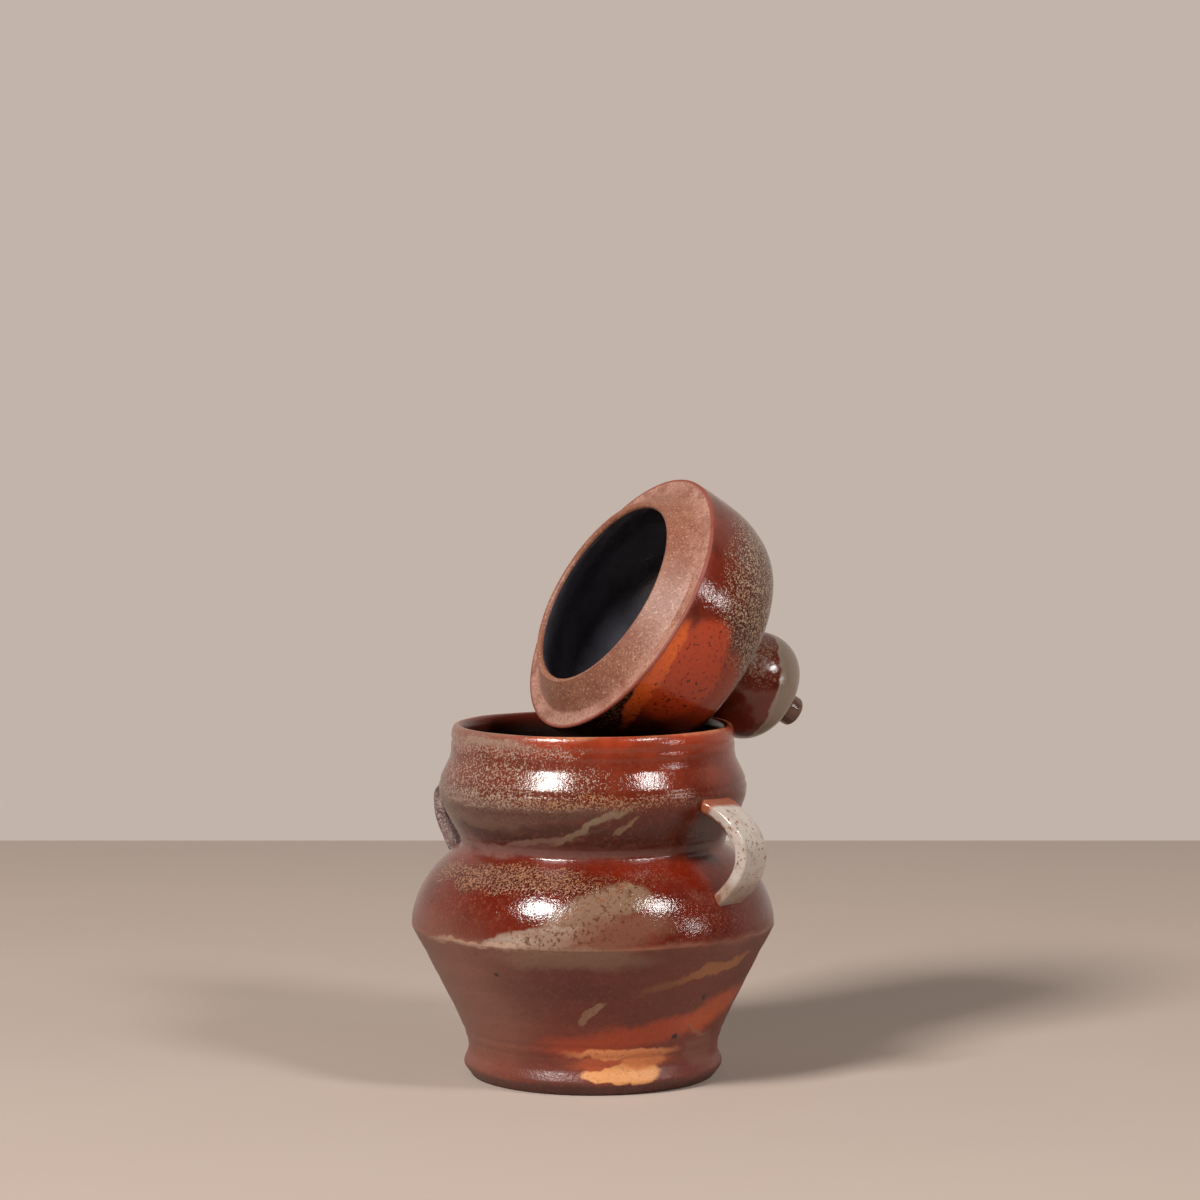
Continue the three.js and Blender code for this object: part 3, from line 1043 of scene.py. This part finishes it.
@dataclass(frozen=True)
class StrapGlaze:
    """Ash glaze that ran over a strap of iron clay: milky on the crown, rusty where its edges broke it."""

    name: str
    body: str
    # a darker copy of the body colour: painted shade towards the jar, and random clouds of mottle elsewhere
    shade_and_mottle: str
    roughness: float
    marks: tuple[Mark, ...]
    spot: float

    def material(self) -> Material:
        """Lay the strap's glaze up.

        Returns:
            Its material.
        """
        glaze = FiredSurface(self.name, JAR_SETTING, girth=45.0, across=Across.OUTWARDS)
        stops = (
            # darker towards the jar, on the strap's inner side and at its pressed ends, as painted shade
            (50.0, self.shade_and_mottle, self.roughness + 0.1),
            (58.0, self.body, self.roughness),
            (86.0, self.body, self.roughness),
        )
        glaze.bands(stops, size=6.0, reach=1.2)
        glaze.mottle(self.shade_and_mottle, 4.5, 0.55, 0.46, 0.64)
        for mark in self.marks:
            glaze.lay(mark)
        glaze.spots(3.4, self.spot, "#7a4026", 0.8)
        glaze.spots(4.6, self.spot * 0.7, "#4c2c1e", 0.7)
        return glaze.fire(1.9, 0.09, 0.35)


RIGHT_STRAP = StrapGlaze(
    name="pale_ash_glazed_stoneware",
    body="#b9ada3",
    shade_and_mottle="#9c8b7e",
    roughness=0.12,
    marks=(
        Mark(44.6, 81.6, 3.4, 3.0, "#8a4324", 0.95, edge=0.3, roughness=0.2),
        Mark(51.0, 58.8, 5.0, 3.2, "#86674f", 0.65, edge=0.6),
        Mark(48.8, 56.0, 3.0, 2.2, "#7a4a32", 0.85, edge=0.4, roughness=0.2),
        Mark(48.8, 76.9, 6.2, 1.3, "#5f3322", 0.92, lean=-36.0, edge=0.3, roughness=0.24),
        Mark(58.6, 65.0, 0.8, 9.0, "#7a4a30", 0.6, edge=0.6, grain=Grain.FLECKS),
        Mark(56.0, 68.0, 7.0, 14.0, "#8a5238", 0.4, grain=Grain.FLECKS),
        Mark(54.0, 74.6, 1.4, 2.6, "#8a4a30", 0.7, lean=40.0, edge=0.8, grain=Grain.FLECKS),
    ),
    spot=1.2,
)
LEFT_STRAP = StrapGlaze(
    name="mauve_ash_glazed_stoneware",
    body="#6f5854",
    shade_and_mottle="#4a3431",
    roughness=0.11,
    marks=(
        Mark(57.0, 70.0, 9.0, 17.0, "#95837f", 0.75, grain=Grain.GRANULES, roughness=0.12),
        Mark(44.5, 79.5, 4.4, 3.6, "#6f4436", 0.8, edge=0.4),
        Mark(51.0, 54.0, 3.6, 2.6, "#5f372b", 0.8, edge=0.4),
    ),
    spot=0.6,
)


# The jar


@dataclass
class ThrownJar:
    """The body of the jar: a flared bowl and a collar, thrown apart and set rim to rim at the keel."""

    foot_radius: float = 35.0
    ridge: Station = Station(37.7, 3.5)
    foot_neck: Station = Station(36.2, 7.8)
    floor_thickness: float = 6.0
    floor_radius: float = 24.0
    wall: float = 4.6
    keel: Station = Station(52.5, 43.8)
    waist: Station = Station(38.1, 67.2)
    collar: Station = Station(44.7, 84.5)
    neck: Station = Station(41.2, 94.8)
    rim_height: float = 102.0
    mouth_radius: float = 37.0
    lip_crest: float = 2.4
    mouth_edge_drop: float = 3.0
    lines: tuple[ThrowingLine, ...] = (
        ThrowingLine(97.4, 0.6, 0.34),
        ThrowingLine(92.2, 0.9, 0.12),
        ThrowingLine(85.6, 0.6, 0.24),
        ThrowingLine(79.0, 1.2, 0.12),
        ThrowingLine(69.6, 0.5, 0.16),
        ThrowingLine(36.5, 1.6, 0.1),
        ThrowingLine(29.0, 1.3, 0.12),
        ThrowingLine(21.0, 1.2, 0.1),
        ThrowingLine(13.6, 0.6, 0.2),
        ThrowingLine(10.6, 0.5, 0.16),
    )
    bowl_glaze: WoodFiredStoneware = WoodFiredStoneware(
        "wood_fired_stoneware", low=-2.0, high=45.0, peel=1.6, depth=0.1, grit=0.75
    )
    collar_glaze: WoodFiredStoneware = WoodFiredStoneware(
        "iron_red_glazed_stoneware", low=42.0, high=104.0, peel=1.3, depth=0.08, grit=0.72
    )

    def lined(self, station: Station) -> Station:
        """Give the station on the lining behind one on the outside."""
        return Station(station.radius - self.wall, station.height, Zone.LINING)

    def bowl(self) -> Object:
        """Throw the lower section, from the middle of the base up to the keel and down to the floor.

        Returns:
            The bowl.
        """
        foot = Station(self.foot_radius, 0.0)
        middle = Station(0.0, 0.0)
        floor_edge = Station(self.floor_radius, self.floor_thickness, Zone.LINING)
        keel_lining = self.lined(self.keel)
        above_neck = stretch(self.foot_neck, 84, 0.18, self.keel, 64.4, 0.53, 48)
        profile = [
            middle,
            *soften(middle, foot, self.ridge, 0.7),
            *soften(foot, self.ridge, self.foot_neck, 1.1, 6),
            *soften(self.ridge, self.foot_neck, above_neck[3], 1.4, 6),
            *above_neck[3:],
            keel_lining,
            *stretch(keel_lining, 246, 0.46, floor_edge, 180, 0.17, 30),
            Station(0.0, self.floor_thickness, Zone.LINING),
        ]
        piece = throw("bowl", scored(profile, self.lines))
        hand_wobble(piece, 34.0, 0.45, still=(0.0, self.keel.height))
        set_down(piece, Matrix.Identity(4))
        piece.data.materials.append(self.bowl_glaze.material())
        return piece

    def collar_ring(self) -> Object:
        """Throw the upper section, from the keel over the lip and down the lining back to the keel.

        Returns:
            The collar.
        """
        crest = Station(self.mouth_radius + self.lip_crest, self.rim_height)
        inner_crest = Station(crest.radius - 0.01, crest.height, Zone.LINING)
        mouth_edge = Station(self.mouth_radius, self.rim_height - self.mouth_edge_drop, Zone.LINING)
        shoulder = stretch(self.keel, 90, 0.34, self.waist, 148, 0.39, 38)
        neck_wall = stretch(self.waist, 75, 0.3, self.collar, 92, 0.36, 28)
        profile = [
            self.keel,
            *shoulder[:-3],
            *soften(shoulder[-4], self.waist, neck_wall[3], 1.5, 8),
            *neck_wall[3:],
            *stretch(self.collar, 93, 0.32, self.neck, 93, 0.36, 18),
            *stretch(self.neck, 88, 0.45, crest, 180, 0.24, 14),
            *stretch(inner_crest, 180, 0.4, mouth_edge, 270, 0.4, 6),
            *stretch(mouth_edge, 270, 0.35, self.lined(self.collar), 270, 0.35, 10),
            *stretch(self.lined(self.collar), 270, 0.36, self.lined(self.waist), 255, 0.3, 12),
            *stretch(self.lined(self.waist), 316, 0.3, self.lined(self.keel), 272, 0.35, 14),
            self.keel,
        ]
        piece = throw("collar", scored(profile, self.lines))
        hand_wobble(piece, 30.0, 0.4, still=(self.keel.height,))
        set_down(piece, Matrix.Identity(4))
        piece.data.materials.append(self.collar_glaze.material())
        return piece

    def build(self) -> list[Object]:
        """Make both sections and put them in the places of their CAD nodes.

        Returns:
            The two pieces.
        """
        bowl, collar_ring = self.bowl(), self.collar_ring()
        for piece, node, slot in (
            (bowl, "jar_bowl", "bowl_stoneware"),
            (collar_ring, "jar_collar", "collar_glaze"),
        ):
            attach(piece, "jar")
            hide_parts(node)
        return [bowl, collar_ring]


# The handles


@dataclass
class StrapHandle:
    """A strap of clay pulled thin, pressed on at the collar and at the shoulder and smoothed down there."""

    name: str
    node: str
    slot: str
    glaze: StrapGlaze
    turn: float
    top: tuple[float, float] = (42.0, 82.0)
    upper_pull: tuple[float, float] = (56.9, 76.0)
    lower_pull: tuple[float, float] = (63.0, 66.3)
    foot: tuple[float, float] = (46.0, 53.1)
    width: float = 12.0
    thickness: float = 4.5
    edge_round: float = 1.5
    edge_steps: int = 4
    rings: int = 36
    smear: float = 0.12
    pressed_top: tuple[float, float] = (0.055, 0.075)
    pressed_foot: tuple[float, float] = (0.955, 0.07)
    slack: float = 0.98
    waver: tuple[float, float] = (0.025, 9.0)
    ripple: tuple[float, float] = (0.015, 23.0)

    def path(self, t: float) -> Vector:
        """Give a point on the middle line of the strap.

        Args:
            t: how far along the strap, from 0 at the collar to 1 at the shoulder.

        Returns:
            The point, in metres.
        """
        corners = (self.top, self.upper_pull, self.lower_pull, self.foot)
        weights = ((1 - t) ** 3, 3 * t * (1 - t) ** 2, 3 * t * t * (1 - t), t**3)
        x, z = (sum(w * c[axis] for w, c in zip(weights, corners)) for axis in (0, 1))
        return Vector((x, 0.0, z)) * MM

    def heading(self, t: float) -> float:
        """Give the direction of the middle line.

        Args:
            t: how far along the strap, from 0 to 1.

        Returns:
            The angle in radians, down from outwards.
        """
        step = 0.001
        way = self.path(min(t + step, 1.0)) - self.path(max(t - step, 0.0))
        return math.atan2(-way.z, way.x)

    def girth(self, t: float) -> tuple[float, float]:
        """Give the width and the thickness of the strap, fuller where its ends are pressed on.

        Args:
            t: how far along the strap, from 0 to 1.

        Returns:
            Both as shares of their full sizes.
        """
        pressed = (self.pressed_top, self.pressed_foot)
        ends = sum(math.exp(-(((t - at) / reach) ** 2)) for at, reach in pressed)
        waver = self.waver[0] * math.sin(self.waver[1] * t + self.turn)
        waver += self.ripple[0] * math.sin(self.ripple[1] * t)
        return self.slack + self.smear * ends + waver, self.slack + 0.5 * self.smear * ends - waver

    def build(self) -> Object:
        """Pull the strap, press it on and put it in the place of its CAD node.

        Returns:
            The handle.
        """
        deselect_all()
        here, facing, sizes = self.path(0.0), self.heading(0.0), self.girth(0.0)
        bpy.ops.mesh.primitive_plane_add(size=MM, location=here, rotation=(0.0, math.pi / 2 + facing, 0.0))
        piece = bpy.context.object
        piece.name = piece.data.name = self.name
        bpy.ops.object.transform_apply(location=True, rotation=True, scale=True)
        bpy.ops.object.mode_set(mode="EDIT")
        bpy.ops.mesh.select_all(action="SELECT")
        along = Matrix.Rotation(facing, 3, "Y")
        bpy.ops.transform.resize(
            value=(1.0, self.width * sizes[0], self.thickness * sizes[1]),
            orient_matrix=along,
            orient_matrix_type="GLOBAL",
            orient_type="GLOBAL",
            center_override=here,
        )
        bpy.ops.mesh.bevel(offset=self.edge_round * MM, segments=self.edge_steps, affect="VERTICES")
        bpy.ops.mesh.select_all(action="SELECT")
        for ring in range(1, self.rings + 1):
            t = ring / self.rings
            there, heading, girth = self.path(t), self.heading(t), self.girth(t)
            bpy.ops.mesh.extrude_region_move(TRANSFORM_OT_translate={"value": there - here})
            bpy.ops.transform.rotate(value=-(heading - facing), orient_axis="Y", center_override=there)
            bpy.ops.transform.resize(
                value=(1.0, girth[0] / sizes[0], 1.0), orient_type="GLOBAL", center_override=there
            )
            here, facing, sizes = there, heading, girth
        close_up()
        bpy.ops.object.mode_set(mode="OBJECT")
        smooth = piece.modifiers.new("smoothed", "SUBSURF")
        smooth.levels = smooth.render_levels = 1
        bpy.ops.object.modifier_apply(modifier=smooth.name)
        hand_wobble(piece, 7.0, 0.5)
        set_down(piece, Matrix.Rotation(math.radians(self.turn), 4, "Z"))
        piece.data.materials.append(self.glaze.material())
        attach(piece, "jar")
        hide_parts(self.node)
        return piece


# The lid


@dataclass
class KnobbedLid:
    """The lid in its own upright frame: a thrown dome with a seat ledge and flange, a knob and a button."""

    seat_radius: float = 41.2
    mouth_fit: float = 36.4
    flange_depth: float = 6.8
    opening_radius: float = 28.2
    tip_round: float = 1.6
    wall: float = 4.8
    hollow_height: float = 11.0
    side: Station = Station(35.5, 28.5)
    height: float = 38.5
    knob_neck: float = 11.8
    knob_radius: float = 16.6
    knob_rise: float = 12.5
    knob_crown: float = 10.8
    knob_top: float = 4.8
    slip: float = 0.3
    finial_stem: float = 3.2
    finial_radius: float = 4.6
    finial_height: float = 6.0
    finial_round: float = 1.5
    knob_sink: float = 0.35
    finial_sink: float = 0.55
    lines: tuple[ThrowingLine, ...] = (
        ThrowingLine(1.5, 0.35, 0.2),
        ThrowingLine(3.0, 0.35, 0.2),
        ThrowingLine(22.0, 0.8, 0.12),
        ThrowingLine(30.0, 0.8, 0.1),
    )
    pose: LidPose = LID_POSE
    dome_glaze: LidGlaze = LidGlaze()
    knob_glaze: KnobGlaze = KnobGlaze()
    finial_glaze: FinialGlaze = FinialGlaze()

    def dome(self) -> Object:
        """Throw the dome, from the top of its hollow out over the seat and up to the top.

        Returns:
            The dome, upright in the lid's own frame.
        """
        top_inside = Station(0.0, self.height - self.wall, Zone.LINING)
        side_inside = Station(self.seat_radius - self.wall, self.hollow_height, Zone.LINING)
        tip_inside = Station(self.opening_radius, self.tip_round - self.flange_depth, Zone.LINING)
        tip_outside = Station(self.opening_radius + self.tip_round, -self.flange_depth, Zone.SEAT)
        root = Station(self.mouth_fit, 0.0, Zone.SEAT)
        seat_edge = Station(self.seat_radius, 0.0, Zone.SEAT)
        outer_edge = Station(self.seat_radius, 0.3)
        neck = Station(self.knob_neck, self.height)
        rising = stretch(outer_edge, 86, 0.28, self.side, 135, 0.32, 34)
        profile = [
            top_inside,
            *stretch(top_inside, 0, 0.56, side_inside, 268, 0.38, 26),
            *stretch(side_inside, 268, 0.4, tip_inside, 268, 0.25, 16),
            *stretch(tip_inside, 270, 0.5, tip_outside, 0, 0.5, 6),
            *soften(tip_outside, root, seat_edge, 0.5),
            *[station._replace(zone=Zone.SEAT) for station in soften(root, seat_edge, rising[0], 0.45)],
            *rising,
            *stretch(self.side, 136, 0.22, neck, 160, 0.42, 20),
            Station(0.0, self.height),
        ]
        piece = throw("lid_shell", scored(profile, self.lines))
        hand_wobble(piece, 26.0, 0.35, still=(0.0,))
        piece.data.materials.append(self.dome_glaze.material())
        return piece

    def knob(self) -> Object:
        """Throw the knob, sunk a little into the dome that it was luted to.

        Returns:
            The knob, upright in the lid's own frame.
        """
        base = self.height + self.slip
        neck = Station(self.knob_neck, base)
        widest = Station(self.knob_radius, base + self.knob_rise)
        top = Station(self.knob_top, base + self.knob_rise + self.knob_crown)
        profile = [
            Station(0.0, base - self.knob_sink),
            Station(self.knob_neck, base - self.knob_sink),
            neck,
            *stretch(neck, 65, 0.3, widest, 90, 0.42, 24),
            *stretch(widest, 90, 0.36, top, 178, 0.42, 30),
            Station(0.0, top.height),
        ]
        piece = throw("knob", profile)
        hand_wobble(piece, 14.0, 0.25)
        piece.data.materials.append(self.knob_glaze.material())
        return piece

    def finial(self) -> Object:
        """Throw the button, sunk a little into the knob.

        Returns:
            The button, upright in the lid's own frame.
        """
        base = self.height + 2 * self.slip + self.knob_rise + self.knob_crown
        top = base + self.finial_height
        stem = Station(self.finial_stem, base)
        lower = Station(self.finial_radius, base + self.finial_round)
        upper = Station(self.finial_radius, top - self.finial_round)
        face = Station(self.finial_radius - self.finial_round, top)
        profile = [
            Station(0.0, base - self.finial_sink),
            Station(self.finial_stem, base - self.finial_sink),
            stem,
            *stretch(stem, 20, 0.4, lower, 90, 0.4, 8),
            *stretch(lower, 90, 0.3, upper, 90, 0.3, 6),
            *stretch(upper, 90, 0.5, face, 180, 0.5, 10),
            Station(0.0, top),
        ]
        piece = throw("button", profile)
        hand_wobble(piece, 4.0, 0.12)
        piece.data.materials.append(self.finial_glaze.material())
        return piece

    def build(self) -> list[Object]:
        """Make the lid's pieces, tip them into the mouth and put them in the places of their CAD nodes.

        Returns:
            The three pieces.
        """
        pieces = [self.dome(), self.knob(), self.finial()]
        for piece, node, slot in zip(
            pieces, ("lid_dome", "lid_knob", "lid_finial"), ("dome_glaze", "knob_glaze", "finial_glaze")
        ):
            set_down(piece, self.pose.matrix())
            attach(piece, "lid")
            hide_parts(node)
        return pieces


# The studio


@dataclass(frozen=True)
class SoftLight:
    """A soft rectangular light, aimed at the jar. Lengths are in metres, its power in watts."""

    name: str
    azimuth: float
    elevation: float
    distance: float
    size: tuple[float, float]
    power: float
    color: str

    def hang(self, aim: Vector) -> Object:
        """Hang the light.

        Args:
            aim: the point that it faces.

        Returns:
            The light.
        """
        deselect_all()
        turn = math.radians(self.azimuth + FRONT_TURN)
        lift = math.radians(self.elevation)
        way = Vector((math.cos(turn) * math.cos(lift), math.sin(turn) * math.cos(lift), math.sin(lift)))
        bpy.ops.object.light_add(type="AREA", location=aim + way * self.distance)
        light = bpy.context.object
        light.name = self.name
        light.rotation_euler = way.to_track_quat("Z", "Y").to_euler()
        light.data.shape = "RECTANGLE"
        light.data.size, light.data.size_y = self.size
        light.data.energy = self.power
        light.data.color = linear(self.color)[:3]
        return light


@dataclass
class Studio:
    """A plain pale table in front of a pale wall, soft lights and the camera.

    The wall is the room's own glow: pale wherever the camera looks, and pale behind the jar for the gloss
    too, so that it never stands in the way of another view. Only a share of it falls on the jar as light.
    Lengths are in metres, but for the lens and its sensor in millimetres.
    """

    floor_color: str = "#b3a297"
    cloud_color: str = "#c0b1a4"
    cloud_size: float = 0.12
    wall_color: str = "#c2b4aa"
    wall_fade: float = 0.35
    wall_bounce: float = 0.4
    glow_color: str = "#f8f6f4"
    room_glow: float = 0.06
    depth: float = 0.51
    front: float = 3.5
    half_width: float = 3.0
    sight: float = 38.0
    aim_height: float = 0.085
    camera_place: tuple[float, float, float] = (0.6395, -0.8152, 0.205)
    camera_dip: float = 3.73
    lens: float = 108.0
    sensor_width: float = 36.0
    lights: tuple[SoftLight, ...] = (
        SoftLight("window_left", -41.0, 41.0, 2.0, (0.48, 0.5), 48.0, "#fffdfa"),
        SoftLight("window_right", 52.0, 41.0, 2.0, (0.36, 0.38), 17.0, "#fffdfa"),
        SoftLight("window_far_right", 67.0, 14.0, 1.6, (0.13, 0.2), 2.3, "#fffdfa"),
    )

    def surface(self, name: str) -> Material:
        """Give the table's pale, matt, slightly cloudy top.

        Args:
            name: the material's name.

        Returns:
            The material.
        """
        material = bpy.data.materials.new(name)
        material.use_nodes = True
        tree = material.node_tree
        tree.nodes.clear()
        points = add_node(tree, "ShaderNodeTexCoord", {}, {}).outputs["Object"]
        grain = {"Scale": 1.0 / self.cloud_size, "Detail": 3.0}
        cloud = add_node(tree, "ShaderNodeTexNoise", grain, {"Vector": points}).outputs["Fac"]
        faint = {1: 0.3, 2: 0.7, 3: 0.0, 4: 0.12}
        soft = add_node(tree, "ShaderNodeMapRange", faint, {0: cloud}).outputs[0]
        tones = {"data_type": "RGBA", 6: linear(self.floor_color), 7: linear(self.cloud_color)}
        toned = add_node(tree, "ShaderNodeMix", tones, {0: soft}).outputs[2]
        finish = {"Roughness": 0.9, "Specular IOR Level": 0.15}
        shader = add_node(tree, "ShaderNodeBsdfPrincipled", finish, {"Base Color": toned})
        add_node(tree, "ShaderNodeOutputMaterial", {}, {"Surface": shader.outputs[0]})
        return material

    def table(self) -> Object:
        """Lay the table, whose far edge meets the wall.

        Returns:
            The table top.
        """
        deselect_all()
        bpy.ops.mesh.primitive_plane_add(size=1.0, location=(0, 0, 0))
        table = bpy.context.object
        table.name = "pale_floor"
        bpy.ops.object.mode_set(mode="EDIT")
        bpy.ops.mesh.select_all(action="SELECT")
        bpy.ops.transform.resize(value=(2 * self.half_width, self.depth + self.front, 1.0))
        bpy.ops.transform.translate(value=(0.0, (self.depth - self.front) / 2, 0.0))
        bpy.ops.object.mode_set(mode="OBJECT")
        set_down(table, Matrix.Rotation(math.radians(self.sight), 4, "Z"))
        table.data.materials.append(self.surface("pale_table"))
        return table

    def light(self) -> None:
        """Hang the lights and give the room its glow and its pale wall."""
        for light in self.lights:
            light.hang(Vector((0.0, 0.0, self.aim_height)))
        world = bpy.data.worlds.new("room")
        bpy.context.scene.world = world
        world.use_nodes = True
        tree = world.node_tree
        tree.nodes.clear()
        heading = add_node(tree, "ShaderNodeTexCoord", {}, {}).outputs["Generated"]
        turn = math.radians(self.sight + 90.0)
        towards_wall = add_node(
            tree,
            "ShaderNodeVectorMath",
            {"operation": "DOT_PRODUCT", 1: (math.cos(turn), math.sin(turn), 0.0)},
            {0: heading},
        ).outputs["Value"]
        fade = {"interpolation_type": "SMOOTHSTEP", 1: 0.0, 2: self.wall_fade}
        wall = add_node(tree, "ShaderNodeMapRange", fade, {0: towards_wall}).outputs[0]
        path = add_node(tree, "ShaderNodeLightPath", {}, {}).outputs
        shiny = {0: path["Is Glossy Ray"], 1: path["Is Transmission Ray"]}
        gloss = add_node(tree, "ShaderNodeMath", {"operation": "MAXIMUM"}, shiny).outputs[0]
        weaker = {3: self.wall_bounce, 4: 1.0}
        strength = add_node(tree, "ShaderNodeMapRange", weaker, {0: gloss}).outputs[0]
        product = {0: wall, 1: strength}
        behind = add_node(tree, "ShaderNodeMath", {"operation": "MULTIPLY"}, product).outputs[0]
        seen = {0: behind, 1: path["Is Camera Ray"]}
        share = add_node(tree, "ShaderNodeMath", {"operation": "MAXIMUM"}, seen).outputs[0]
        glow = [self.room_glow * part for part in linear(self.glow_color)[:3]] + [1.0]
        tones = {"data_type": "RGBA", 6: glow, 7: linear(self.wall_color)}
        color = add_node(tree, "ShaderNodeMix", tones, {0: share}).outputs[2]
        backdrop = add_node(tree, "ShaderNodeBackground", {"Strength": 1.0}, {"Color": color})
        add_node(tree, "ShaderNodeOutputWorld", {}, {"Surface": backdrop.outputs[0]})

    def camera(self) -> Object:
        """Stand the camera at the angle of the photograph.

        Returns:
            The camera.
        """
        deselect_all()
        way = (math.radians(90.0 - self.camera_dip), 0.0, math.radians(self.sight))
        bpy.ops.object.camera_add(location=self.camera_place, rotation=way)
        camera = bpy.context.object
        camera.data.lens = self.lens
        camera.data.sensor_width = self.sensor_width
        bpy.context.scene.camera = camera
        return camera

    def build(self) -> None:
        """Set the whole studio up."""
        self.table()
        self.light()
        self.camera()
        bpy.context.scene.view_settings.view_transform = "Standard"


def write_sizes() -> None:
    """Bring the view layer up to date."""
    bpy.context.view_layer.update()


def main() -> None:
    """Build the jar, its handles, its lid and the studio."""
    logging.basicConfig(level=logging.INFO, format="%(name)s: %(message)s")
    pieces = ThrownJar().build()
    right = StrapHandle("right_strap", "handle_right", "right_handle_glaze", RIGHT_STRAP, turn=0.0)
    pieces.append(right.build())
    left = StrapHandle(
        "left_strap",
        "handle_left",
        "left_handle_glaze",
        LEFT_STRAP,
        turn=180.0,
        top=(42.0, 79.2),
        upper_pull=(63.2, 85.2),
        lower_pull=(52.3, 66.9),
        foot=(45.6, 57.6),
        edge_round=1.3,
    )
    pieces.append(left.build())
    pieces += KnobbedLid().build()
    for piece in pieces:
        log.info("%s: %d faces", piece.name, len(piece.data.polygons))
    Studio().build()
    write_sizes()


if __name__ == "__main__":
    main()
